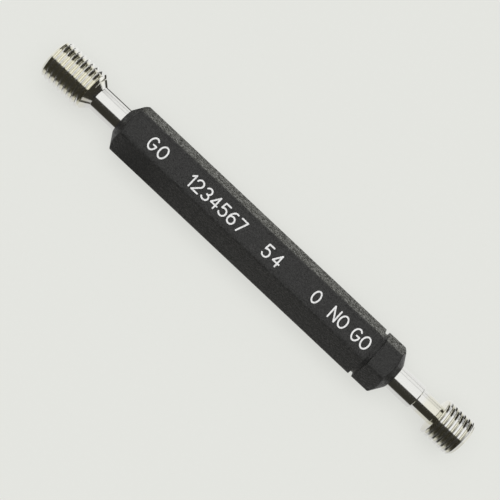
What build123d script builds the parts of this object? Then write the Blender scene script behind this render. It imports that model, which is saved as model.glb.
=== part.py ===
"""A double-ended thread plug gauge, lying on one flat of its hexagonal handle.

X runs along the gauge, from the GO end to the NO GO end, and Z is up. The origin is on the
ground, under the middle of the gauge. Lengths are in millimetres and angles in degrees.
"""
from build123d import *
from math import cos, radians, tan
import os

# The handle: a hexagonal bar with turned ends
handle_length = 49.2
across_flats = 7.0
long_edge_radius = 0.6
end_face_radius = 2.0
end_cone_angle = 33.0

# The turned ring that marks the NO GO end, measured from that end face
ring_from_end = 4.15
ring_width = 0.6
ring_depth = 0.1

# The locking taper that holds each member in its socket
shank_radius = 1.82
lock_length = 12.0
lock_length_per_diameter = 50.0
lock_end_chamfer = 0.3
socket_spare_depth = 1.5
socket_point_angle = 118.0
lock_clearance = 0.01

# What both threads share
thread_pitch = 0.75
thread_angle = 60.0
lead_chamfer = 0.5
centre_radius = 0.5
centre_angle = 60.0

# The GO member: a thread of full form, and a cone down to the shank
go_reach = 12.4
go_major_radius = 3.0
go_crest_flat = 0.094
go_root_flat = 0.125
go_root_relief = 0.03
go_thread_length = 6.6
go_back_cone_length = 1.3
go_first_groove = 0.45

# The NO GO member: a short truncated thread, a thin neck, and a step up to the shank
no_go_reach = 12.4
no_go_major_radius = 2.91
no_go_crest_flat = 0.288
no_go_root_flat = 0.125
no_go_root_relief = 0.06
no_go_thread_length = 4.8
no_go_back_cone_length = 0.15
no_go_first_groove = 0.45
no_go_neck_radius = 1.52
no_go_step_from_handle = 4.2
no_go_step_chamfer = 0.12

# How far a cutting shape runs past the surface that it cuts
overrun = 0.2

# Values worked out from the ones above
axis_height = across_flats / 2
corner_radius = axis_height / cos(radians(30))
end_cone_length = (corner_radius + overrun - end_face_radius) * tan(radians(end_cone_angle))
handle_middle = (go_reach - no_go_reach) / 2
go_end_x = handle_middle - handle_length / 2
no_go_end_x = handle_middle + handle_length / 2
centre_depth = centre_radius / tan(radians(centre_angle / 2))
gauge_axis = Axis((0, 0, axis_height), (1, 0, 0))

# Each end has a plane of its own: its x runs out of the handle and its y is the radius
go_plane = Plane(origin=(go_end_x, 0, axis_height), x_dir=(-1, 0, 0), z_dir=(0, 1, 0))
no_go_plane = Plane(origin=(no_go_end_x, 0, axis_height), x_dir=(1, 0, 0), z_dir=(0, -1, 0))


def taper_radius(depth, clearance=0.0):
    """Radius of the locking taper at a depth inside the handle."""
    return shank_radius - depth / (2 * lock_length_per_diameter) + clearance


def socket_cutter(end_plane):
    """The blind tapered socket in one end of the handle, with the point that its drill left."""
    depth = lock_length + socket_spare_depth
    mouth = taper_radius(-overrun, lock_clearance)
    floor = taper_radius(depth, lock_clearance)
    point = floor / tan(radians(socket_point_angle / 2))
    with BuildPart() as cutter:
        with BuildSketch(end_plane):
            with BuildLine():
                Polyline(
                    (overrun, 0),
                    (overrun, mouth),
                    (-depth, floor),
                    (-depth - point, 0),
                    close=True,
                )
            make_face()
        revolve(axis=gauge_axis)
    return cutter.part


def threaded_rod(end_plane, tip, length, first_groove, major_radius, crest_flat, root_flat, relief):
    """A rod as long as a whole member, with a right-hand thread cut round its outer end.

    The groove has the thread's flanks down to the width of the root flat, and below that the
    straight-sided relief of a ground thread. It starts past the tip and ends behind the thread,
    both times inside the rod, which is trimmed to the member's own outline afterwards.
    """
    slope = tan(radians(thread_angle / 2))
    rise = crest_flat / 2
    half_top = (thread_pitch - crest_flat) / 2 + rise * slope
    half_root = root_flat / 2
    top = major_radius + rise
    flank_foot = top - (half_top - half_root) / slope
    root = flank_foot - relief
    start = tip - first_groove + 2 * thread_pitch
    run = start - (tip - length) + thread_pitch / 2
    start_point = end_plane.from_local_coords((start, 0, 0))
    inward = end_plane.x_dir * -1
    with BuildPart() as rod:
        with BuildSketch(Plane(origin=end_plane.origin, z_dir=inward).offset(-start - thread_pitch)):
            Circle(major_radius)
        extrude(amount=start + thread_pitch + lock_length + overrun)
        with BuildLine() as lead:
            Helix(thread_pitch, run, root, center=start_point, direction=inward)
        spoke = (lead.line @ 0 - start_point).normalized()
        with BuildSketch(Plane(origin=start_point, x_dir=inward, z_dir=inward.cross(spoke))):
            with BuildLine():
                Polyline(
                    (-half_root, root),
                    (-half_root, flank_foot),
                    (-half_top, top),
                    (half_top, top),
                    (half_root, flank_foot),
                    (half_root, root),
                    close=True,
                )
            make_face()
        sweep(path=lead.line, is_frenet=True, mode=Mode.SUBTRACT)
    return rod.part


# The handle
go_socket = socket_cutter(go_plane)
no_go_socket = socket_cutter(no_go_plane)

with BuildPart() as handle:
    with BuildSketch(Plane.YZ.offset(go_end_x)):
        with Locations((0, axis_height)):
            RegularPolygon(axis_height, 6, major_radius=False, rotation=0)
    extrude(amount=handle_length)
    long_edges = handle.edges().filter_by(Axis.X)
    fillet(long_edges, long_edge_radius)
    with BuildSketch(no_go_plane):
        with BuildLine():
            Polyline(
                (0, 0),
                (0, end_face_radius),
                (-end_cone_length, corner_radius + overrun),
                (end_cone_length - handle_length, corner_radius + overrun),
                (-handle_length, end_face_radius),
                (-handle_length, 0),
                close=True,
            )
        make_face()
    revolve(axis=gauge_axis, mode=Mode.INTERSECT)
    with BuildSketch(no_go_plane):
        with BuildLine():
            Polyline(
                (-ring_from_end, axis_height - ring_depth),
                (-ring_from_end, corner_radius + overrun),
                (-ring_from_end - ring_width, corner_radius + overrun),
                (-ring_from_end - ring_width, axis_height - ring_depth),
                close=True,
            )
        make_face()
    revolve(axis=gauge_axis, mode=Mode.SUBTRACT)
    add(go_socket, mode=Mode.SUBTRACT)
    add(no_go_socket, mode=Mode.SUBTRACT)
handle.part.label = "handle"

# The GO member
go_rod = threaded_rod(
    go_plane, go_reach, go_thread_length + go_back_cone_length, go_first_groove,
    go_major_radius, go_crest_flat, go_root_flat, go_root_relief,
)
go_thread_back = go_reach - go_thread_length

with BuildPart() as go_member:
    add(go_rod)
    with BuildSketch(go_plane):
        with BuildLine():
            Polyline(
                (go_reach - centre_depth, 0),
                (go_reach, centre_radius),
                (go_reach, go_major_radius - lead_chamfer),
                (go_reach - lead_chamfer, go_major_radius),
                (go_thread_back, go_major_radius),
                (go_thread_back - go_back_cone_length, shank_radius),
                (0, shank_radius),
                (lock_end_chamfer - lock_length, taper_radius(lock_length - lock_end_chamfer)),
                (-lock_length, taper_radius(lock_length) - lock_end_chamfer),
                (-lock_length, 0),
                close=True,
            )
        make_face()
    revolve(axis=gauge_axis, mode=Mode.INTERSECT)
go_member.part.label = "go_member"

# The NO GO member
no_go_rod = threaded_rod(
    no_go_plane, no_go_reach, no_go_thread_length + no_go_back_cone_length, no_go_first_groove,
    no_go_major_radius, no_go_crest_flat, no_go_root_flat, no_go_root_relief,
)
no_go_thread_back = no_go_reach - no_go_thread_length

with BuildPart() as no_go_member:
    add(no_go_rod)
    with BuildSketch(no_go_plane):
        with BuildLine():
            Polyline(
                (no_go_reach - centre_depth, 0),
                (no_go_reach, centre_radius),
                (no_go_reach, no_go_major_radius - lead_chamfer),
                (no_go_reach - lead_chamfer, no_go_major_radius),
                (no_go_thread_back, no_go_major_radius),
                (no_go_thread_back - no_go_back_cone_length, no_go_neck_radius),
                (no_go_step_from_handle, no_go_neck_radius),
                (no_go_step_from_handle, shank_radius - no_go_step_chamfer),
                (no_go_step_from_handle - no_go_step_chamfer, shank_radius),
                (0, shank_radius),
                (lock_end_chamfer - lock_length, taper_radius(lock_length - lock_end_chamfer)),
                (-lock_length, taper_radius(lock_length) - lock_end_chamfer),
                (-lock_length, 0),
                close=True,
            )
        make_face()
    revolve(axis=gauge_axis, mode=Mode.INTERSECT)
no_go_member.part.label = "no_go_member"

os.makedirs("parts", exist_ok=True)
export_step(handle.part, "parts/handle.step")
export_step(go_member.part, "parts/go_member.step")
export_step(no_go_member.part, "parts/no_go_member.step")
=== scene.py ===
"""Looks for the double-ended thread plug gauge, lying on a pale floor under soft light.

Shapes are worked out in millimetres and become metres when a mesh is made. X runs along the
gauge from the GO end to the NO GO end, Z is up, and the origin is on the floor under its middle.
"""
from math import atan, atan2, cos, degrees, hypot, pi, radians, sin, sqrt, tan

import bmesh
import bpy
from mathutils import Matrix, Vector
from mathutils.geometry import delaunay_2d_cdt


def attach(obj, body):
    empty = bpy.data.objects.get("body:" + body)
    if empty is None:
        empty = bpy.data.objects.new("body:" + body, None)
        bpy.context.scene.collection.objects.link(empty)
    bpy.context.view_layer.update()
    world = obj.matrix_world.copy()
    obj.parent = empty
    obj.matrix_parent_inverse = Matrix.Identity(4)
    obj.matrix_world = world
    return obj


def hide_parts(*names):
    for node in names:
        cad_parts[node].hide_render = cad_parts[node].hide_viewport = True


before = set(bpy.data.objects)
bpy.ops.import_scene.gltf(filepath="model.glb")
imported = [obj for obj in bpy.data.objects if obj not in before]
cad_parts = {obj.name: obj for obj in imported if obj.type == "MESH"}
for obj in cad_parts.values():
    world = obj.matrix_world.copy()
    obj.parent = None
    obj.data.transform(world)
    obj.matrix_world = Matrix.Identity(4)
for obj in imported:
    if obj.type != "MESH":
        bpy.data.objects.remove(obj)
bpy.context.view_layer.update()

# Metres in a millimetre, and the height of the gauge's axis over the floor
MM = 0.001
AXIS_HEIGHT = 3.5

# The handle and its two sockets, with the same sizes as the CAD solid
HANDLE_END = 24.6
FLAT_RADIUS = 3.5
LONG_EDGE_RADIUS = 0.6
END_FACE_RADIUS = 2.0
CONE_RISE = 1 / tan(radians(33.0))
RING_START = 19.85
RING_END = 20.45
RING_FLOOR = 3.4
SHANK_RADIUS = 1.82
SOCKET_GAP = 0.01
SOCKET_DEPTH = 13.5
SOCKET_POINT_ANGLE = 118.0
TAPER_PER_DEPTH = 0.01

# How wide the handle's edges are rounded off
MOUTH_EDGE = 0.02
END_EDGE = 0.06
CONE_EDGE = 0.14
RING_EDGE = 0.04
RING_FLOOR_EDGE = 0.03

# What both members share
PITCH = 0.75
FLANK_SLOPE = tan(radians(30.0))
LEAD_CHAMFER = 0.5
EDGE_SOFTENING = 0.03
CENTRE_RADIUS = 0.5
CENTRE_DEPTH = CENTRE_RADIUS / tan(radians(30.0))
LOCK_LENGTH = 12.0
LOCK_END_CHAMFER = 0.3
REACH = 12.4

# The GO member. Places on both members are distances out of the handle
GO_MAJOR_RADIUS = 3.0
GO_CREST_FLAT = 0.094
GO_ROOT_FLAT = 0.125
GO_ROOT_RELIEF = 0.03
GO_THREAD_BACK = 5.8
GO_CONE_BACK = 4.5
GO_FIRST_GROOVE = 0.45

# The NO GO member, with a thin neck and a step up to the shank
NO_GO_MAJOR_RADIUS = 2.91
NO_GO_CREST_FLAT = 0.288
NO_GO_ROOT_FLAT = 0.125
NO_GO_ROOT_RELIEF = 0.06
NO_GO_THREAD_BACK = 7.6
NO_GO_CONE_BACK = 7.45
NO_GO_FIRST_GROOVE = 0.45
NECK_RADIUS = 1.52
STEP_PLACE = 4.2
STEP_CHAMFER = 0.12

# The engraving on the upper flat: its words as (text, left, right), their size and depth, and
# how far the paint in them stays under the flat and goes into the ground of the engraving
WORDS = [
    ("GO", -19.9, -16.8),
    ("1234567", -12.9, -3.0),
    ("54", 0.5, 3.5),
    ("0", 9.2, 10.7),
    ("NO GO", 12.4, 19.2),
]
WORDS_MIDDLE = -0.15
SIGN_HEIGHT = 1.75
STROKE_WIDTH = 0.235
WORD_GAP = 3.0
ENGRAVING_DEPTH = 0.06
CUTTER_RISE = 0.3
PAINT_SINK = 0.02
PAINT_OVERLAP = 0.005

# The pale colour that the camera sees, and the share of the floor that is plain light to it
PALE = (0.783, 0.791, 0.753)
CAMERA_PLAIN_SHARE = 0.76

# How finely round shapes are divided, how many steps past +Y a member's first column is, how
# near to the ends of a run its extra points are, and from which angle an edge shades as sharp
MEMBER_COLUMNS = 240
FIRST_COLUMN = 0.37
FLAT_STEPS = 12
EDGE_STEPS = 8
RUN_SUPPORT = 0.2
STEEL_SHARP_ANGLE = 14.0
HANDLE_SHARP_ANGLE = 32.0


def new_object(name, mesh, material):
    """Links a mesh as an object that wears one material."""
    made = bpy.data.objects.new(name, mesh)
    bpy.context.scene.collection.objects.link(made)
    mesh.materials.append(material)
    return made


def closed_mesh(name, points, faces, sharp_angle):
    """A smooth-shaded mesh from points in millimetres, its faces turned outwards."""
    mesh = bpy.data.meshes.new(name)
    mesh.from_pydata([(x * MM, y * MM, z * MM) for x, y, z in points], [], faces)
    shape = bmesh.new()
    shape.from_mesh(mesh)
    bmesh.ops.recalc_face_normals(shape, faces=shape.faces)
    shape.to_mesh(mesh)
    shape.free()
    mesh.shade_smooth()
    mesh.set_sharp_from_angle(angle=radians(sharp_angle))
    return mesh


def softened(outline, size):
    """The outline with each corner off the axis cut back, so that its edge catches light."""
    made = [outline[0]]
    for before, corner, after in zip(outline, outline[1:], outline[2:]):
        back = (before[0] - corner[0], before[1] - corner[1])
        on = (after[0] - corner[0], after[1] - corner[1])
        if corner[1] < 1e-6:
            made.append(corner)
            continue
        back_length = hypot(*back)
        on_length = hypot(*on)
        cut = min(size, 0.25 * back_length, 0.25 * on_length)
        for way, length in ((back, back_length), (on, on_length)):
            made.append((corner[0] + way[0] * cut / length, corner[1] + way[1] * cut / length))
    made.append(outline[-1])
    return made


def height_at(line, place):
    """The radius of a falling line of (label, place, radius) at one place on the axis."""
    for (_, a, ra), (_, b, rb) in zip(line, line[1:]):
        if a >= place >= b:
            return ra if a == b else ra + (rb - ra) * (a - place) / (a - b)
    return line[-1][2]


def lower_line(outline, groove):
    """The lower of two lines, with the points where they cross. Both fall along the axis."""
    stops = sorted(outline + groove, key=lambda p: -p[1])
    first, last = outline[0][1], outline[-1][1]
    stops = [p for p in stops if first >= p[1] >= last]
    made = []
    previous = None
    segment = {"edge": None, "groove": None}
    for label, place, radius in stops:
        of_edge = label[0] == "edge"
        other = height_at(groove if of_edge else outline, place)
        gap = (radius - other) if of_edge else (other - radius)
        if previous is not None and previous[1] * gap < 0:
            share = previous[1] / (previous[1] - gap)
            cross = previous[0] + (place - previous[0]) * share
            crossing = ("cross", segment["edge"], segment["groove"])
            made.append((crossing, cross, height_at(outline, cross)))
        if radius <= other:
            made.append((label, place, radius))
        segment["edge" if of_edge else "groove"] = label
        previous = (place, gap)
    return made


def bridge(near, near_ids, far, far_ids):
    """Faces between two neighbouring columns, whose points are matched by their labels."""
    near_labels = {p[0] for p in near}
    far_labels = {p[0] for p in far}
    faces = []
    i = j = 0
    while i < len(near) - 1 or j < len(far) - 1:
        more_near = i < len(near) - 1
        more_far = j < len(far) - 1
        if more_near and more_far and near[i + 1][0] == far[j + 1][0]:
            face = [near_ids[i], near_ids[i + 1], far_ids[j + 1], far_ids[j]]
            i += 1
            j += 1
        elif more_near and (not more_far or near[i + 1][0] not in far_labels):
            face = [near_ids[i], near_ids[i + 1], far_ids[j]]
            i += 1
        elif more_far and (not more_near or far[j + 1][0] not in near_labels):
            face = [near_ids[i], far_ids[j + 1], far_ids[j]]
            j += 1
        elif near[i + 1][1] > far[j + 1][1]:
            face = [near_ids[i], near_ids[i + 1], far_ids[j]]
            i += 1
        else:
            face = [near_ids[i], far_ids[j + 1], far_ids[j]]
            j += 1
        kept = list(dict.fromkeys(face))
        if len(kept) > 2:
            faces.append(kept)
    return faces


def groove_profile(major_radius, crest_flat, root_flat, relief):
    """Half of the groove's section as (distance from its middle, radius), from the top down. Its
    top edge is broken, and the sides of its relief lean by a hair."""
    edge_break = 0.012
    side_lean = 0.003
    half_top = (PITCH - crest_flat) / 2
    flank_foot = major_radius - (half_top - root_flat / 2) / FLANK_SLOPE
    root = flank_foot - relief
    return [
        (half_top + 2 * edge_break, major_radius + edge_break),
        (half_top - edge_break * FLANK_SLOPE, major_radius - edge_break),
        (root_flat / 2 + side_lean, flank_foot),
        (root_flat / 2 - side_lean, root),
    ]


def threaded_member(name, end_x, outward, outline, thread_from, profile, first_groove, phase_turn):
    """A steel member: a turned outline with a right-hand groove cut round its outer end.

    The outline is (distance out of the handle, radius) from the tip's middle to the tail's, and
    thread_from is where the groove fades out. The first groove's distance from the tip is the one
    at phase_turn, in turns from +Y over +Z. Each column is the outline at one angle.
    """
    head = [i for i, p in enumerate(outline) if p[0] >= REACH - 1e-9][-1]
    tail = [i for i, p in enumerate(outline) if p[0] <= thread_from + 1e-9][0]
    fixed_head = [(("edge", i), *outline[i]) for i in range(head)]
    middle = [(("edge", i), *outline[i]) for i in range(head, tail + 1)]
    fixed_tail = [(("edge", i), *outline[i]) for i in range(tail + 1, len(outline))]
    turns = int((REACH - thread_from) / PITCH) + 4

    def column(angle):
        shift = outward * PITCH * (angle / (2 * pi) - phase_turn)
        groove = []
        for turn in range(-2, turns):
            centre = REACH - first_groove - PITCH * turn + shift
            groove += [(("groove", turn, k), centre + s, r) for k, (s, r) in enumerate(profile)]
            groove += [
                (("groove", turn, len(profile) + k), centre - s, r)
                for k, (s, r) in enumerate(reversed(profile))
            ]
        return fixed_head + lower_line(middle, groove) + fixed_tail

    step = 2 * pi / MEMBER_COLUMNS
    start = FIRST_COLUMN * step
    points = [
        (end_x + outward * outline[0][0], 0.0, AXIS_HEIGHT),
        (end_x + outward * outline[-1][0], 0.0, AXIS_HEIGHT),
    ]
    columns = []
    ids = []
    for k in range(MEMBER_COLUMNS + 1):
        angle = start + k * step
        line = column(angle)
        columns.append(line)
        if k == MEMBER_COLUMNS:
            ids.append(ids[0])
            break
        names = [0]
        for _, a, r in line[1:-1]:
            names.append(len(points))
            points.append((end_x + outward * a, r * cos(angle), AXIS_HEIGHT + r * sin(angle)))
        ids.append(names + [1])
    faces = []
    for k in range(MEMBER_COLUMNS):
        faces += bridge(columns[k], ids[k], columns[k + 1], ids[k + 1])
    return closed_mesh(name, points, faces, STEEL_SHARP_ANGLE)


def hexagon_radius(angle):
    """How far the round-edged hexagon's side is from its axis, at an angle from a flat's middle."""
    off_middle = abs((angle + pi / 6) % (pi / 3) - pi / 6)
    inner = FLAT_RADIUS - LONG_EDGE_RADIUS
    corner = (inner, inner * tan(pi / 6))
    if FLAT_RADIUS * tan(off_middle) <= corner[1]:
        return FLAT_RADIUS / cos(off_middle)
    along = corner[0] * cos(off_middle) + corner[1] * sin(off_middle)
    return along + sqrt(along ** 2 - corner[0] ** 2 - corner[1] ** 2 + LONG_EDGE_RADIUS ** 2)


def hexagon_angles():
    """The angles of the handle's columns, from one flat's middle round to the same place."""
    inner = FLAT_RADIUS - LONG_EDGE_RADIUS
    flat_half = inner * tan(pi / 6)
    angles = []
    for side in range(6):
        middle = side * pi / 3
        flat = [atan(flat_half * k / FLAT_STEPS / FLAT_RADIUS) for k in range(FLAT_STEPS + 1)]
        edge = []
        for k in range(1, EDGE_STEPS + 1):
            turn = pi / 6 * k / EDGE_STEPS
            out = inner + LONG_EDGE_RADIUS * cos(turn)
            across = flat_half + LONG_EDGE_RADIUS * sin(turn)
            edge.append(atan2(across, out))
        half = flat + edge
        angles += [middle - a for a in reversed(half[1:-1])] + [middle + a for a in half]
    return angles


def rounded_corner(before, corner, after, size, steps=4):
    """Points of a soft corner between two straight runs of an outline."""
    back = (before[0] - corner[0], before[1] - corner[1])
    on = (after[0] - corner[0], after[1] - corner[1])
    cut_back = min(size, 0.45 * hypot(*back)) / hypot(*back)
    cut_on = min(size, 0.45 * hypot(*on)) / hypot(*on)
    start = (corner[0] + back[0] * cut_back, corner[1] + back[1] * cut_back)
    end = (corner[0] + on[0] * cut_on, corner[1] + on[1] * cut_on)
    made = []
    for k in range(steps + 1):
        t = k / steps
        made.append(tuple(
            (1 - t) ** 2 * s + 2 * t * (1 - t) * c + t ** 2 * e
            for s, c, e in zip(start, corner, end)
        ))
    return made


def supported(line, distance):
    """The line with a point near both ends of each long run, so that the run shades as straight."""
    made = [line[0]]
    for a, b in zip(line, line[1:]):
        length = hypot(b[0] - a[0], b[1] - a[1])
        if length > 4 * distance:
            for share in (distance / length, 1 - distance / length):
                made.append((a[0] + (b[0] - a[0]) * share, a[1] + (b[1] - a[1]) * share))
        made.append(b)
    return made


def handle_outline(side_radius):
    """The handle's outline at one angle, from the GO socket's point to the NO GO socket's."""
    socket_floor = SHANK_RADIUS - SOCKET_DEPTH * TAPER_PER_DEPTH + SOCKET_GAP
    socket_mouth = SHANK_RADIUS + SOCKET_GAP
    point = socket_floor / tan(radians(SOCKET_POINT_ANGLE / 2))
    cone_length = (side_radius - END_FACE_RADIUS) / CONE_RISE
    corners = [
        (-HANDLE_END + SOCKET_DEPTH + point, 0.0, 0.0),
        (-HANDLE_END + SOCKET_DEPTH, socket_floor, 0.0),
        (-HANDLE_END, socket_mouth, MOUTH_EDGE),
        (-HANDLE_END, END_FACE_RADIUS, END_EDGE),
        (-HANDLE_END + cone_length, side_radius, CONE_EDGE),
        (RING_START, side_radius, RING_EDGE),
        (RING_START, RING_FLOOR, RING_FLOOR_EDGE),
        (RING_END, RING_FLOOR, RING_FLOOR_EDGE),
        (RING_END, side_radius, RING_EDGE),
        (HANDLE_END - cone_length, side_radius, CONE_EDGE),
        (HANDLE_END, END_FACE_RADIUS, END_EDGE),
        (HANDLE_END, socket_mouth, MOUTH_EDGE),
        (HANDLE_END - SOCKET_DEPTH, socket_floor, 0.0),
        (HANDLE_END - SOCKET_DEPTH - point, 0.0, 0.0),
    ]
    made = [corners[0][:2]]
    for before, corner, after in zip(corners, corners[1:], corners[2:]):
        if corner[2]:
            made += rounded_corner(before[:2], corner[:2], after[:2], corner[2])
        else:
            made.append(corner[:2])
    made.append(corners[-1][:2])
    return supported(made, RUN_SUPPORT)


def handle_mesh(name):
    """The hexagonal bar with turned ends, its marking ring and both sockets, as one closed mesh."""
    angles = hexagon_angles()
    first = handle_outline(hexagon_radius(angles[0]))
    points = [(first[0][0], 0.0, AXIS_HEIGHT), (first[-1][0], 0.0, AXIS_HEIGHT)]
    ids = []
    for angle in angles:
        names = [0]
        for x, r in handle_outline(hexagon_radius(angle))[1:-1]:
            names.append(len(points))
            points.append((x, r * sin(angle), AXIS_HEIGHT + r * cos(angle)))
        ids.append(names + [1])
    faces = []
    for near, far in zip(ids, ids[1:] + ids[:1]):
        for a, b, c, d in zip(near, near[1:], far[1:], far):
            faces.append(list(dict.fromkeys([a, b, c, d])))
    return closed_mesh(name, points, faces, HANDLE_SHARP_ANGLE)


# Single-stroke signs for the engraving, on a cell one high: each stroke is a list of points
def arc(cx, cy, rx, ry, start, end, steps=10):
    """Points of an elliptical arc, its angles in degrees."""
    turns = [radians(start + (end - start) * k / steps) for k in range(steps + 1)]
    return [(cx + rx * cos(t), cy + ry * sin(t)) for t in turns]


SIGNS = {
    "G": [arc(0.33, 0.5, 0.33, 0.5, 48, 350, 16) + [(0.655, 0.46), (0.38, 0.46)]],
    "O": [arc(0.33, 0.5, 0.33, 0.5, 0, 360, 20)],
    "N": [[(0, 0), (0, 1), (0.6, 0), (0.6, 1)]],
    "0": [arc(0.29, 0.5, 0.29, 0.5, 0, 360, 20)],
    "1": [[(0.1, 0.78), (0.33, 1), (0.33, 0)]],
    "2": [arc(0.29, 0.71, 0.29, 0.29, 170, -38, 10) + [(0, 0), (0.6, 0)]],
    "3": [
        arc(0.27, 0.745, 0.26, 0.255, 150, -90, 10)
        + arc(0.27, 0.255, 0.29, 0.255, 90, -150, 10)
    ],
    "4": [[(0.6, 0.3), (0, 0.3), (0.44, 1), (0.44, 0)]],
    "5": [[(0.54, 1), (0.08, 1), (0.03, 0.56)] + arc(0.27, 0.32, 0.3, 0.32, 125, -150, 12)],
    "6": [
        [(0.5, 0.96)] + arc(0.42, 0.36, 0.42, 0.62, 100, 178, 8)
        + arc(0.29, 0.3, 0.29, 0.3, 180, -180, 16)
    ],
    "7": [[(0, 1), (0.58, 1), (0.2, 0)]],
}


def stroke_outline(a, b, width):
    """A straight stroke of the engraving cutter, with its round ends."""
    turn = atan2(b[1] - a[1], b[0] - a[0])
    ends = ((b, turn - pi / 2), (a, turn + pi / 2))
    return [
        (p[0] + width / 2 * cos(start + pi * k / 6), p[1] + width / 2 * sin(start + pi * k / 6))
        for p, start in ends
        for k in range(7)
    ]


def engraved_area(words, middle, height, width):
    """Triangles that cover the strokes of the words, each placed as (text, left, right)."""
    points = []
    outlines = []
    for text, left, right in words:
        shapes = [SIGNS[sign] for sign in text.replace(" ", "")]
        widths = [max(x for stroke in shape for x, _ in stroke) * height for shape in shapes]
        gaps = []
        for before, after in zip(text, text[1:]):
            if after == " ":
                continue
            gaps.append(WORD_GAP if before == " " else 1.0)
        gap = (right - left - width - sum(widths)) / max(sum(gaps), 1)
        place = left + width / 2
        for shape, sign_width, space in zip(shapes, widths, gaps + [0]):
            for stroke in shape:
                line = [(place + x * height, middle - height / 2 + y * height) for x, y in stroke]
                for a, b in zip(line, line[1:]):
                    loop = stroke_outline(a, b, width)
                    outlines.append(list(range(len(points), len(points) + len(loop))))
                    points += loop
            place += sign_width + gap * space
    flat, _, triangles, _, _, sources = delaunay_2d_cdt(
        [Vector(p) for p in points], [], outlines, 0, 1e-6, True
    )
    inside = [list(t) for t, source in zip(triangles, sources) if source]
    used = sorted({v for t in inside for v in t})
    number = {v: k for k, v in enumerate(used)}
    return [tuple(flat[v]) for v in used], [[number[v] for v in t] for t in inside]


def plate_mesh(name, flat, triangles, low, high):
    """A closed plate over the triangles, between two heights in millimetres."""
    count = len(flat)
    points = [(x, y, low) for x, y in flat] + [(x, y, high) for x, y in flat]
    faces = [list(reversed(t)) for t in triangles] + [[v + count for v in t] for t in triangles]
    directed = {(a, b) for t in triangles for a, b in zip(t, t[1:] + t[:1])}
    for a, b in directed:
        if (b, a) not in directed:
            faces.append([a, b, b + count, a + count])
    return closed_mesh(name, points, faces, HANDLE_SHARP_ANGLE)


def put(tree, socket, value):
    """Gives a socket a link or a value of its own."""
    if isinstance(value, bpy.types.NodeSocket):
        tree.links.new(value, socket)
    else:
        socket.default_value = value


def node(tree, kind, inputs, **settings):
    """A new node with its settings and inputs."""
    made = tree.nodes.new(kind)
    for name, value in settings.items():
        setattr(made, name, value)
    for name, value in inputs.items():
        put(tree, made.inputs[name], value)
    return made


def math(tree, operation, *values):
    """The result of a Math node."""
    return node(tree, "ShaderNodeMath", dict(enumerate(values)), operation=operation).outputs[0]


def product(tree, *values):
    """All the values multiplied."""
    made = values[0]
    for value in values[1:]:
        made = math(tree, "MULTIPLY", made, value)
    return made


def summed(tree, *values):
    """All the values added up."""
    made = values[0]
    for value in values[1:]:
        made = math(tree, "ADD", made, value)
    return made


def rest(tree, value):
    """What is left of one."""
    return math(tree, "SUBTRACT", 1.0, value)


def between(tree, value, low, high):
    """How far a value is from low to high, from 0 to 1 and smooth at both ends."""
    inputs = {"Value": value, "From Min": low, "From Max": high}
    made = node(tree, "ShaderNodeMapRange", inputs, interpolation_type="SMOOTHSTEP")
    return made.outputs["Result"]


def blended(tree, share, low, high):
    """A value from low to high."""
    inputs = {"Value": share, "To Min": low, "To Max": high}
    return node(tree, "ShaderNodeMapRange", inputs).outputs["Result"]


def noise(tree, place, scale, detail=2.0, roughness=0.5):
    """A noise value from 0 to 1."""
    inputs = {"Vector": place, "Scale": scale, "Detail": detail, "Roughness": roughness}
    return node(tree, "ShaderNodeTexNoise", inputs).outputs["Fac"]


def mixed(tree, share, low, high):
    """A colour from low to high."""
    made = node(tree, "ShaderNodeMix", {"Factor": share}, data_type="RGBA")
    colours = [s for s in made.inputs if s.type == "RGBA"]
    put(tree, colours[0], low if isinstance(low, bpy.types.NodeSocket) else (*low, 1.0))
    put(tree, colours[1], high if isinstance(high, bpy.types.NodeSocket) else (*high, 1.0))
    return [s for s in made.outputs if s.type == "RGBA"][0]


def bumped(tree, height, distance, strength=1.0):
    """A normal that follows a height, whose full range is a distance in millimetres."""
    inputs = {"Height": height, "Distance": distance * MM, "Strength": strength}
    return node(tree, "ShaderNodeBump", inputs).outputs["Normal"]


def new_material(name):
    """An empty material: its node tree, its shader and the object's coordinates in millimetres."""
    material = bpy.data.materials.new(name)
    material.use_nodes = True
    tree = material.node_tree
    tree.nodes.clear()
    shader = node(tree, "ShaderNodeBsdfPrincipled", {})
    output = node(tree, "ShaderNodeOutputMaterial", {})
    tree.links.new(shader.outputs["BSDF"], output.inputs["Surface"])
    place = node(tree, "ShaderNodeTexCoord", {}).outputs["Object"]
    inputs = {"Vector": place, "Scale": 1 / MM}
    scaled = node(tree, "ShaderNodeVectorMath", inputs, operation="SCALE")
    return material, tree, shader, scaled.outputs["Vector"]


def stretched(tree, place, x, y, z):
    """The coordinates with each axis scaled by its own amount."""
    inputs = {0: place, 1: (x, y, z)}
    return node(tree, "ShaderNodeVectorMath", inputs, operation="MULTIPLY").outputs["Vector"]


def from_axis(tree, place):
    """The distance along the gauge's axis and the distance from it."""
    parts = node(tree, "ShaderNodeSeparateXYZ", {"Vector": place})
    up = math(tree, "SUBTRACT", parts.outputs["Z"], AXIS_HEIGHT)
    across = parts.outputs["Y"]
    square = summed(tree, product(tree, up, up), product(tree, across, across))
    return parts.outputs["X"], math(tree, "SQRT", square)


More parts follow.
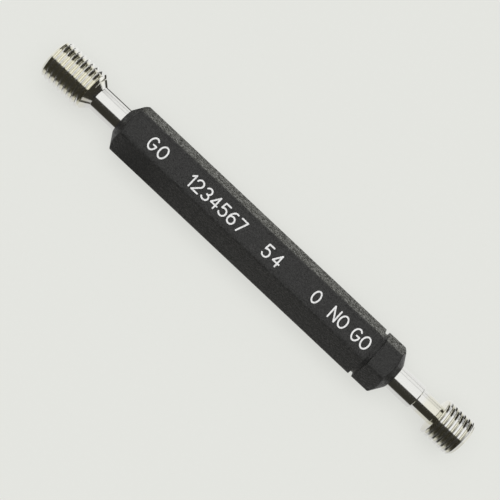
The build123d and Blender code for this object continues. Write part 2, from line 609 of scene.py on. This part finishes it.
def plastic_material():
    """Matte black moulded plastic: a fine pebbled grain, turned ends and rubbed edges. Its gloss
    varies from spot to spot, most of all on the flats towards +Y, whose colour is made lighter in
    specks as a painted sheen."""
    material, tree, shader, place = new_material("black_plastic")
    along, radius = from_axis(tree, place)
    # The grain, from coarse to fine, clouds in the colour, and faint lines along the bar
    pebble = noise(tree, place, 3.4, 2.0, 0.55)
    grain = noise(tree, place, 7.5, 2.0, 0.6)
    cloud = noise(tree, place, 0.4, 3.0, 0.6)
    drag = noise(tree, stretched(tree, place, 0.2, 6.0, 6.0), 1.0, 2.0, 0.5)
    # The turned end cones, with tool marks round the axis in place of the grain
    depth_in = math(tree, "SUBTRACT", HANDLE_END, math(tree, "ABSOLUTE", along))
    cone_radius = summed(tree, product(tree, depth_in, CONE_RISE), END_FACE_RADIUS)
    turned = between(tree, math(tree, "SUBTRACT", radius, cone_radius), -0.06, 0.0)
    turning = noise(tree, stretched(tree, place, 26.0, 0.6, 0.6), 1.0, 2.0, 0.6)
    # The long edges, worn in patches, the painted sheen on the flats towards +Y, and pale specks
    edge = between(tree, radius, 3.86, 3.95)
    worn = product(tree, edge, between(tree, noise(tree, place, 2.2, 3.0, 0.65), 0.45, 0.65))
    normal = node(tree, "ShaderNodeTexCoord", {}).outputs["Normal"]
    facing = node(tree, "ShaderNodeSeparateXYZ", {"Vector": normal}).outputs["Y"]
    sheen_side = between(tree, facing, 0.70, 0.84)
    crumbs = between(tree, noise(tree, place, 3.0, 3.0, 0.8), 0.40, 0.60)
    painted_sheen = mixed(tree, crumbs, (0.020, 0.020, 0.014), (0.052, 0.052, 0.036))
    speck = between(tree, noise(tree, place, 2.6, 4.0, 0.75), 0.70, 0.76)
    # The colour, from the grain up to the wear and the specks
    pepper = between(tree, grain, 0.30, 0.72)
    base = mixed(tree, pepper, (0.0060, 0.0060, 0.0056), (0.0360, 0.0355, 0.0335))
    base = mixed(tree, product(tree, cloud, 0.4), base, (0.0170, 0.0170, 0.0162))
    # Painted sheen: the flats towards +Y get a lighter colour in specks, standing in for light
    # caught at a grazing angle
    base = mixed(tree, sheen_side, base, painted_sheen)
    base = mixed(tree, product(tree, worn, 0.45), base, (0.045, 0.045, 0.042))
    base = mixed(tree, product(tree, speck, 0.30), base, (0.09, 0.09, 0.08))
    # The gloss, which differs from spot to spot, and the height
    dull = blended(tree, sheen_side, 0.60, 0.80)
    glossy = blended(tree, sheen_side, 0.33, 0.20)
    rough = blended(tree, crumbs, dull, glossy)
    rough = math(tree, "SUBTRACT", rough, product(tree, worn, 0.08))
    height = summed(
        tree, product(tree, pebble, 0.6), product(tree, grain, 0.4), product(tree, drag, 0.12)
    )
    height = summed(
        tree, product(tree, height, rest(tree, turned)), product(tree, turning, 0.30, turned)
    )
    put(tree, shader.inputs["Base Color"], base)
    put(tree, shader.inputs["Roughness"], rough)
    put(tree, shader.inputs["Normal"], bumped(tree, height, 0.22, 1.0))
    shader.inputs["Specular IOR Level"].default_value = 0.48
    return material


def steel_material():
    """Hardened ground steel: fine marks round the axis, a trace of oil left in the roots, and a
    GO thread that is a little brighter than the rest."""
    material, tree, shader, place = new_material("ground_steel")
    along, radius = from_axis(tree, place)
    # Grinding marks that run round the axis, fine and broad, and smudges
    inputs = {"X": along, "Y": radius, "Z": 0.0}
    axial = node(tree, "ShaderNodeCombineXYZ", inputs).outputs["Vector"]
    wander = stretched(tree, place, 0.0, 0.25, 0.25)
    inputs = {0: stretched(tree, axial, 24.0, 24.0, 0.0), 1: wander}
    rings = node(tree, "ShaderNodeVectorMath", inputs, operation="ADD").outputs["Vector"]
    marks = noise(tree, rings, 1.0, 3.0, 0.7)
    broad = noise(tree, stretched(tree, axial, 3.0, 3.0, 0.0), 1.0, 2.0, 0.5)
    smudge = noise(tree, place, 0.9, 3.0, 0.6)
    # Oil in the roots of the threads, and the brighter GO thread
    in_thread = between(tree, math(tree, "ABSOLUTE", along), 29.2, 30.2)
    oil = product(tree, rest(tree, between(tree, radius, 2.5, 2.95)), in_thread)
    base = mixed(tree, smudge, (0.835, 0.835, 0.82), (0.81, 0.808, 0.788))
    fresh = rest(tree, between(tree, along, -30.2, -29.4))
    base = mixed(tree, fresh, base, (0.885, 0.88, 0.86))
    oiled = mixed(tree, fresh, (0.80, 0.782, 0.675), (0.86, 0.838, 0.71))
    base = mixed(tree, product(tree, oil, 0.8), base, oiled)
    rough = summed(tree, blended(tree, marks, 0.05, 0.13), product(tree, smudge, broad, 0.08))
    put(tree, shader.inputs["Base Color"], base)
    put(tree, shader.inputs["Roughness"], rough)
    put(tree, shader.inputs["Normal"], bumped(tree, marks, 0.0006, 0.6))
    shader.inputs["Metallic"].default_value = 1.0
    return material


def paint_material():
    """White marking paint wiped into the engraving: chalky, and thinner in places."""
    material, tree, shader, place = new_material("white_paint")
    thin = between(tree, noise(tree, place, 3.5, 3.0, 0.6), 0.50, 0.72)
    grain = noise(tree, place, 22.0, 2.0, 0.5)
    colour = mixed(tree, thin, (0.84, 0.84, 0.83), (0.60, 0.60, 0.60))
    put(tree, shader.inputs["Base Color"], colour)
    put(tree, shader.inputs["Roughness"], blended(tree, grain, 0.5, 0.7))
    put(tree, shader.inputs["Normal"], bumped(tree, grain, 0.01, 0.6))
    return material


def pale_material():
    """A plain pale matte sheet. The camera sees part of its colour as plain light, so that it is
    as pale as a lit background and still keeps the object's shadow. Reflections see a glowing
    sheet of painted reflection instead, pale near the object and dark further off, with limits of
    their own beside the threads, the shanks and the handle. It is painted darker on the -Y side and
    white beside the handle's +Y side. Two places close to the object are dark as painted shade: a
    rim beside the GO shank on its +Y side, and a shade beside the handle's GO end on its -Y side."""
    material, tree, shader, place = new_material("pale_floor")
    tooth = noise(tree, place, 1.4, 4.0, 0.6)
    colour = mixed(tree, tooth, (0.776, 0.784, 0.746), (0.790, 0.798, 0.760))
    put(tree, shader.inputs["Base Color"], colour)
    shader.inputs["Roughness"].default_value = 0.9
    shader.inputs["Specular IOR Level"].default_value = 0.0
    parts = node(tree, "ShaderNodeSeparateXYZ", {"Vector": place})
    along, across = parts.outputs["X"], parts.outputs["Y"]
    # Which part of the gauge a point of the floor is beside, and on which side. The limits of
    # the threads' parts lean outwards
    out = product(tree, math(tree, "ABSOLUTE", across), 0.18)
    beside = between(tree, across, -1.0, 1.0)
    by_threads = math(
        tree, "MAXIMUM",
        rest(tree, between(tree, summed(tree, along, out), -29.8, -28.8)),
        between(tree, math(tree, "SUBTRACT", along, out), 32.2, 33.2),
    )
    by_handle = product(
        tree, between(tree, along, -24.0, -22.5), rest(tree, between(tree, along, 22.5, 24.0))
    )
    # How far out the painted reflection is pale beside each part, with painted shade in a rim by the
    # GO shank and beside the handle's GO end
    rim_shade = product(
        tree, beside, rest(tree, between(tree, across, 7.0, 9.0)),
        rest(tree, between(tree, along, -24.5, -23.5)),
    )
    near_threads = product(
        tree, between(tree, across, -11.0, -5.5), rest(tree, between(tree, across, 7.5, 13.5))
    )
    near_shanks = product(tree, between(tree, across, -20.0, -12.0), rest(tree, rim_shade))
    shade = product(tree, rest(tree, beside), between(tree, across, -16.0, -11.0))
    near_handle = product(
        tree, between(tree, across, -40.0, -30.0), rest(tree, between(tree, across, 32.0, 44.0)),
        rest(tree, product(tree, shade, rest(tree, between(tree, along, -19.0, -15.0)))),
    )
    lit = blended(tree, by_handle, near_shanks, near_handle)
    lit = blended(tree, by_threads, lit, near_threads)
    # How pale the painted reflection is there: darker towards -Y and darkest beside the handle's -Y
    # side as painted shade, and white beside the handle's +Y side as painted light. Then what the
    # camera and the reflections see of it
    pale = mixed(tree, beside, (0.73, 0.73, 0.715), (0.90, 0.90, 0.885))
    pale = mixed(tree, product(tree, by_handle, rest(tree, beside)), pale, (0.56, 0.55, 0.52))
    pale = mixed(tree, product(tree, by_handle, beside), pale, (1.0, 1.0, 0.97))
    # Painted reflection: glossy rays see this painted colour glowing, with its dark zones as painted
    # shade
    painted_reflection = mixed(tree, lit, (0.045, 0.043, 0.034), pale)
    path = node(tree, "ShaderNodeLightPath", {})
    plain = node(tree, "ShaderNodeEmission", {"Color": colour, "Strength": 1.0})
    shown = node(tree, "ShaderNodeEmission", {"Color": painted_reflection, "Strength": 1.0})
    inputs = {
        0: product(tree, path.outputs["Is Camera Ray"], CAMERA_PLAIN_SHARE),
        1: shader.outputs["BSDF"],
        2: plain.outputs[0],
    }
    seen = node(tree, "ShaderNodeMixShader", inputs)
    inputs = {0: path.outputs["Is Glossy Ray"], 1: seen.outputs[0], 2: shown.outputs[0]}
    both = node(tree, "ShaderNodeMixShader", inputs)
    output = [n for n in tree.nodes if n.type == "OUTPUT_MATERIAL"][0]
    tree.links.new(both.outputs[0], output.inputs["Surface"])
    return material


def soft_studio_world():
    """A soft overhead light for matt surfaces, and for gloss the reflection of the room: a bright
    ceiling with a window towards +Y, and a dark side from 20 degrees off the zenith towards -Y."""
    world = bpy.data.worlds.new("soft_studio")
    bpy.context.scene.world = world
    world.use_nodes = True
    tree = world.node_tree
    tree.nodes.clear()
    direction = node(tree, "ShaderNodeTexCoord", {}).outputs["Generated"]
    parts = node(tree, "ShaderNodeSeparateXYZ", {"Vector": direction})
    # How far a direction leans from the zenith towards -Y, and towards +X, in degrees
    towards_dark = product(tree, parts.outputs["Y"], -1.0)
    lean = product(tree, math(tree, "ARCTAN2", towards_dark, parts.outputs["Z"]), degrees(1))
    side = product(tree, math(tree, "ARCSINE", parts.outputs["X"]), degrees(1))
    ceiling = product(
        tree,
        rest(tree, between(tree, lean, 17.5, 22.5)),
        between(tree, lean, -59.0, -51.0),
        rest(tree, between(tree, side, 40.0, 54.0)),
        between(tree, side, -60.0, -46.0),
    )
    window = product(
        tree,
        rest(tree, between(tree, lean, -60.0, -50.0)),
        rest(tree, between(tree, side, 11.0, 13.0)),
        between(tree, side, -12.4, -8.9),
        between(tree, lean, -90.0, -86.0),
    )
    bright = math(tree, "MAXIMUM", ceiling, window)
    room = mixed(tree, bright, (0.036, 0.034, 0.027), (0.97, 0.97, 0.955))
    overhead = between(tree, parts.outputs["Z"], 0.76, 0.86)
    soft = mixed(tree, overhead, (0.36, 0.36, 0.36), (2.15, 2.15, 2.15))
    path = node(tree, "ShaderNodeLightPath", {})
    colour = mixed(tree, path.outputs["Is Glossy Ray"], soft, room)
    colour = mixed(tree, path.outputs["Is Camera Ray"], colour, PALE)
    background = node(tree, "ShaderNodeBackground", {"Color": colour, "Strength": 1.0})
    output = node(tree, "ShaderNodeOutputWorld", {})
    tree.links.new(background.outputs["Background"], output.inputs["Surface"])


def taper_radius(depth):
    """Radius of the locking taper at a depth inside the handle."""
    return SHANK_RADIUS - depth * TAPER_PER_DEPTH


def member_tip(major_radius):
    """The outline of a member's tip, from the centre hole to the back of the lead chamfer."""
    return [
        (REACH - CENTRE_DEPTH, 0.0),
        (REACH, CENTRE_RADIUS),
        (REACH, major_radius - LEAD_CHAMFER),
        (REACH - LEAD_CHAMFER, major_radius),
    ]


def member_tail():
    """The outline of what both members have in the handle: the locking taper and its end."""
    return [
        (0.0, SHANK_RADIUS),
        (LOCK_END_CHAMFER - LOCK_LENGTH, taper_radius(LOCK_LENGTH - LOCK_END_CHAMFER)),
        (-LOCK_LENGTH, taper_radius(LOCK_LENGTH) - LOCK_END_CHAMFER),
        (-LOCK_LENGTH, 0.0),
    ]


def go_piece(material):
    """The GO member: a long thread of full form, a cone and a plain shank."""
    outline = [
        *member_tip(GO_MAJOR_RADIUS),
        (GO_THREAD_BACK, GO_MAJOR_RADIUS),
        (GO_CONE_BACK, SHANK_RADIUS),
        *member_tail(),
    ]
    profile = groove_profile(GO_MAJOR_RADIUS, GO_CREST_FLAT, GO_ROOT_FLAT, GO_ROOT_RELIEF)
    mesh = threaded_member(
        "go_plug", -HANDLE_END, -1, softened(outline, EDGE_SOFTENING), GO_CONE_BACK,
        profile, GO_FIRST_GROOVE, 0.25,
    )
    return new_object("go_plug", mesh, material)


def no_go_piece(material):
    """The NO GO member: a short truncated thread, a thin neck and a step up to the shank."""
    outline = [
        *member_tip(NO_GO_MAJOR_RADIUS),
        (NO_GO_THREAD_BACK, NO_GO_MAJOR_RADIUS),
        (NO_GO_CONE_BACK, NECK_RADIUS),
        (STEP_PLACE, NECK_RADIUS),
        (STEP_PLACE, SHANK_RADIUS - STEP_CHAMFER),
        (STEP_PLACE - STEP_CHAMFER, SHANK_RADIUS),
        *member_tail(),
    ]
    profile = groove_profile(
        NO_GO_MAJOR_RADIUS, NO_GO_CREST_FLAT, NO_GO_ROOT_FLAT, NO_GO_ROOT_RELIEF
    )
    mesh = threaded_member(
        "no_go_plug", HANDLE_END, 1, softened(outline, EDGE_SOFTENING), NO_GO_CONE_BACK,
        profile, NO_GO_FIRST_GROOVE, -0.25,
    )
    return new_object("no_go_plug", mesh, material)


def handle_pieces(plastic, paint):
    """The handle with its words cut into the upper flat, and the paint that lies in them."""
    strokes, stroke_faces = engraved_area(WORDS, WORDS_MIDDLE, SIGN_HEIGHT, STROKE_WIDTH)
    flat_height = AXIS_HEIGHT + FLAT_RADIUS
    floor_height = flat_height - ENGRAVING_DEPTH
    cutter_mesh = plate_mesh(
        "cutter", strokes, stroke_faces, floor_height, flat_height + CUTTER_RISE
    )
    cutter = new_object("cutter", cutter_mesh, paint)
    bar = new_object("handle_bar", handle_mesh("handle_bar"), plastic)
    cut = bar.modifiers.new("engraving", "BOOLEAN")
    cut.object = cutter
    cut.operation = "DIFFERENCE"
    cut.solver = "MANIFOLD"
    depsgraph = bpy.context.evaluated_depsgraph_get()
    engraved = bpy.data.meshes.new_from_object(bar.evaluated_get(depsgraph))
    bar.modifiers.clear()
    bar.data = engraved
    engraved.materials.clear()
    engraved.materials.append(plastic)
    engraved.shade_smooth()
    engraved.set_sharp_from_angle(angle=radians(HANDLE_SHARP_ANGLE))
    bpy.data.objects.remove(cutter)
    marks_mesh = plate_mesh(
        "handle_marks", strokes, stroke_faces,
        floor_height - PAINT_OVERLAP, flat_height - PAINT_SINK,
    )
    return bar, new_object("handle_marks", marks_mesh, paint)


def make_floor():
    """The floor under the gauge, reaching some metres each way."""
    reach = 6.0
    corners = [(-reach, -reach, 0), (reach, -reach, 0), (reach, reach, 0), (-reach, reach, 0)]
    mesh = bpy.data.meshes.new("floor")
    mesh.from_pydata(corners, [], [(0, 1, 2, 3)])
    new_object("floor", mesh, pale_material())


def make_camera():
    """The camera: it looks down on the gauge, leaning to -Y, turned about its own view, and aims a
    few pixels away from the middle of the gauge's axis."""
    lean = radians(12.1)
    turn = radians(43.25)
    frame_pixels = 500.0
    focal_pixels = 1270.0
    pixels_per_mm = 7.55
    along_pixels = 4.95
    across_pixels = 6.65
    back = Vector((0.0, -sin(lean), cos(lean)))
    across = Vector((0.0, cos(lean), sin(lean)))
    along = Vector((1.0, 0.0, 0.0))
    right = along * cos(turn) + across * sin(turn)
    up = across * cos(turn) - along * sin(turn)
    aim = Vector((0.0, 0.0, AXIS_HEIGHT))
    aim -= along * (along_pixels / pixels_per_mm)
    aim -= across * (across_pixels / pixels_per_mm)
    place = (aim + back * (focal_pixels / pixels_per_mm)) * MM
    data = bpy.data.cameras.new("camera")
    data.sensor_width = 36.0
    data.lens = data.sensor_width * focal_pixels / frame_pixels
    data.clip_start = 0.01
    data.clip_end = 20.0
    camera = bpy.data.objects.new("camera", data)
    bpy.context.scene.collection.objects.link(camera)
    camera.matrix_world = Matrix((
        (right.x, up.x, back.x, place.x),
        (right.y, up.y, back.y, place.y),
        (right.z, up.z, back.z, place.z),
        (0.0, 0.0, 0.0, 1.0),
    ))
    bpy.context.scene.camera = camera


# The pieces, each with the body it rides on, its slot and the solid that it stands for
steel = steel_material()
plastic = plastic_material()
paint = paint_material()
go_plug = go_piece(steel)
no_go_plug = no_go_piece(steel)
handle_bar, handle_marks = handle_pieces(plastic, paint)
for piece, replaced, slot in (
    (handle_bar, "handle", "handle_plastic"),
    (go_plug, "go_member", "gauge_steel"),
    (no_go_plug, "no_go_member", "gauge_steel"),
    (handle_marks, None, "marking_paint"),
):
    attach(piece, "root")
    if replaced:
        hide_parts(replaced)

# The stage
make_floor()
soft_studio_world()
make_camera()
bpy.context.scene.view_settings.view_transform = "Standard"
